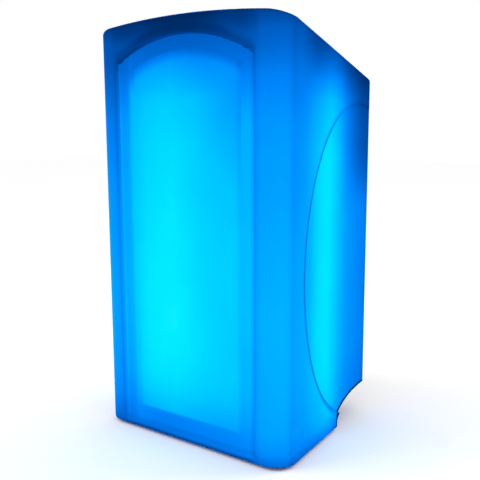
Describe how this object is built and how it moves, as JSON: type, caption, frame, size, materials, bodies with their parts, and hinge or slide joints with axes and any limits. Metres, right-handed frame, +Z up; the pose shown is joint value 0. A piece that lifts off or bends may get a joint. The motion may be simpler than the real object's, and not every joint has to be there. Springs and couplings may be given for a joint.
{
  "type": "party speaker",
  "caption": "Light-up party speaker: glowing moulded cabinet with an arched front panel and side scoops, rear baffle with woofer, horn, handle and controls, tilt-back wheels.",
  "frame": {"origin": "centre of the overall footprint, on the surface that the feet and wheels stand on", "axes": "+Z up, +Y towards the back where the baffle is, +X to the right seen from the front"},
  "size_m": [0.4, 0.366, 0.7003],
  "materials": {
    "glow_shell": "satin",
    "brass": "satin",
    "black_rubber": "matte",
    "black_steel": "satin",
    "zinc_steel": "satin",
    "black_plastic": "matte",
    "gloss_black": "gloss",
    "rocker_red": "gloss",
    "ferrite": "matte",
    "copper": "satin",
    "cone_paper": "matte",
    "spider_cloth": "matte",
    "control_panel": "satin",
    "circuit_board": "satin",
    "heat_sink": "satin",
    "display_glass": "gloss",
    "battery_wrap": "gloss",
    "mast_aluminium": "satin",
    "lamp_strip": "gloss",
    "lead_jacket": "satin",
    "knob_plastic": "satin",
    "button_silver": "satin",
    "wheel_plastic": "satin",
    "tyre_rubber": "matte"
  },
  "bodies": {
    "cabinet": {"amplifier_board": "circuit_board", "aux_jack": "gloss_black", "baffle": "black_plastic", "baffle_gasket": "black_rubber", "baffle_screws": "black_steel", "base_screws": "black_steel", "battery_bracket": "zinc_steel", "battery_pack": "battery_wrap", "board_standoffs": "brass", "button_switches": "black_plastic", "charge_socket": "gloss_black", "control_plate": "control_panel", "control_plate_screws": "black_steel", "display_window": "display_glass", "driver_screws": "black_steel", "front_feet": "black_rubber", "grille": "black_steel", "grille_screws": "black_steel", "handle_bar": "black_plastic", "handle_cup": "black_plastic", "handle_screws": "black_steel", "heat_sink": "heat_sink", "led_controller": "black_plastic", "led_mast": "mast_aluminium", "led_strips": "lamp_strip", "mic_jacks": "gloss_black", "pole_socket": "black_plastic", "potentiometers": "zinc_steel", "shell": "glow_shell", "shell_inserts": "brass", "switch_housing": "gloss_black", "tweeter_driver": "ferrite", "tweeter_horn": "black_plastic", "usb_socket": "zinc_steel", "wheel_axles": "zinc_steel", "wheel_brackets": "zinc_steel", "wiring_harness": "lead_jacket", "woofer_basket": "black_steel", "woofer_magnet": "ferrite", "woofer_pole_piece": "zinc_steel", "woofer_spider": "spider_cloth", "woofer_surround": "black_rubber", "woofer_top_plate": "zinc_steel"},
    "woofer_cone": {"woofer_cone": "cone_paper", "voice_coil": "copper", "woofer_dust_cap": "cone_paper"},
    "wheel_left": {"wheel_hub_left": "wheel_plastic", "tyre_left": "tyre_rubber"},
    "wheel_right": {"wheel_hub_right": "wheel_plastic", "tyre_right": "tyre_rubber"},
    "rocker": {"switch_rocker": "rocker_red"},
    "knob_master": {"knob_master": "knob_plastic"},
    "knob_microphone": {"knob_microphone": "knob_plastic"},
    "knob_echo": {"knob_echo": "knob_plastic"},
    "knob_tone": {"knob_tone": "knob_plastic"},
    "button_mode": {"button_mode": "button_silver"},
    "button_previous": {"button_previous": "button_silver"},
    "button_play": {"button_play": "button_silver"},
    "button_next": {"button_next": "button_silver"},
    "button_light": {"button_light": "button_silver"}
  },
  "joints": [
    {"name": "woofer_cone_travel", "type": "slide", "parent": "cabinet", "child": "woofer_cone", "axis": [0, 1, 0], "range_m": [-0.004, 0.004], "stiffness_N_per_m": 3500, "deforming": ["woofer_surround", "woofer_spider"]},
    {"name": "knob_master_turn", "type": "hinge", "parent": "cabinet", "child": "knob_master", "pos_m": [-0.076, 0.1705, 0.18], "axis": [0, -1, 0], "range_deg": [-150, 150]},
    {"name": "knob_microphone_turn", "type": "hinge", "parent": "cabinet", "child": "knob_microphone", "pos_m": [-0.032, 0.1705, 0.18], "axis": [0, -1, 0], "range_deg": [-150, 150]},
    {"name": "knob_echo_turn", "type": "hinge", "parent": "cabinet", "child": "knob_echo", "pos_m": [0, 0.1705, 0.18], "axis": [0, -1, 0], "range_deg": [-150, 150]},
    {"name": "knob_tone_turn", "type": "hinge", "parent": "cabinet", "child": "knob_tone", "pos_m": [0.032, 0.1705, 0.18], "axis": [0, -1, 0], "range_deg": [-150, 150]},
    {"name": "button_mode_press", "type": "slide", "parent": "cabinet", "child": "button_mode", "axis": [0, -1, 0], "range_m": [0, 0.0012], "stiffness_N_per_m": 900},
    {"name": "button_previous_press", "type": "slide", "parent": "cabinet", "child": "button_previous", "axis": [0, -1, 0], "range_m": [0, 0.0012], "stiffness_N_per_m": 900},
    {"name": "button_play_press", "type": "slide", "parent": "cabinet", "child": "button_play", "axis": [0, -1, 0], "range_m": [0, 0.0012], "stiffness_N_per_m": 900},
    {"name": "button_next_press", "type": "slide", "parent": "cabinet", "child": "button_next", "axis": [0, -1, 0], "range_m": [0, 0.0012], "stiffness_N_per_m": 900},
    {"name": "button_light_press", "type": "slide", "parent": "cabinet", "child": "button_light", "axis": [0, -1, 0], "range_m": [0, 0.0012], "stiffness_N_per_m": 900},
    {"name": "power_rocker", "type": "hinge", "parent": "cabinet", "child": "rocker", "pos_m": [0.078, 0.1675, 0.18], "axis": [1, 0, 0], "range_deg": [0, 16]},
    {"name": "wheel_left_spin", "type": "hinge", "parent": "cabinet", "child": "wheel_left", "pos_m": [-0.058, 0.117, 0.035], "axis": [1, 0, 0], "continuous": true},
    {"name": "wheel_right_spin", "type": "hinge", "parent": "cabinet", "child": "wheel_right", "pos_m": [0.058, 0.117, 0.035], "axis": [1, 0, 0], "continuous": true}
  ]
}
